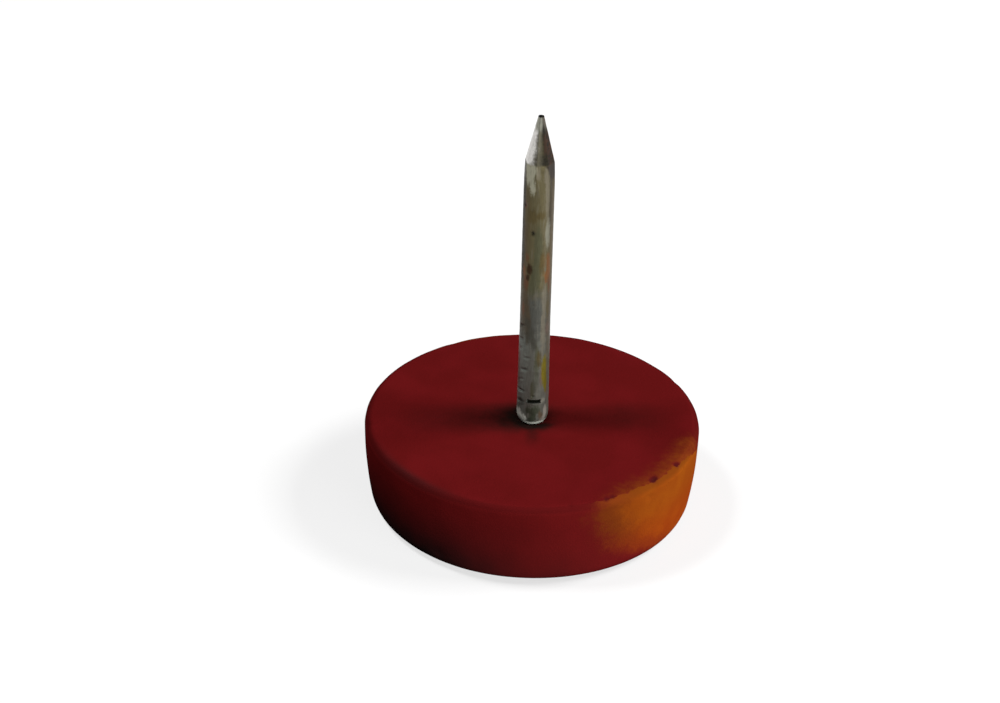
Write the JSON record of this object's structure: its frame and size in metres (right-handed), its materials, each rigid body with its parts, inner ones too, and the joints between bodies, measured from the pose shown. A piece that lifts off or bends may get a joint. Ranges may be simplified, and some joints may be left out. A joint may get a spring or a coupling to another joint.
{
  "type": "nail on furniture glide",
  "caption": "Round plastic glide moulded on the head of a pointed steel nail, driven into the end of a chair or table leg so that it slides over the floor.",
  "frame": {"origin": "centre of the glide face, on the flat spot that slides on the floor", "axes": "+Z along the nail from the glide face to the tip; -Y is the side that the die slot faces"},
  "size_m": [0.02, 0.02, 0.0255],
  "materials": {
    "disc_plastic": "dark red moulded plastic with a soft satin face",
    "nail_steel": "dull drawn wire with tarnish and rust specks"
  },
  "bodies": {
    "root": {"glide_disc": "disc_plastic", "nail": "nail_steel"}
  },
  "joints": []
}
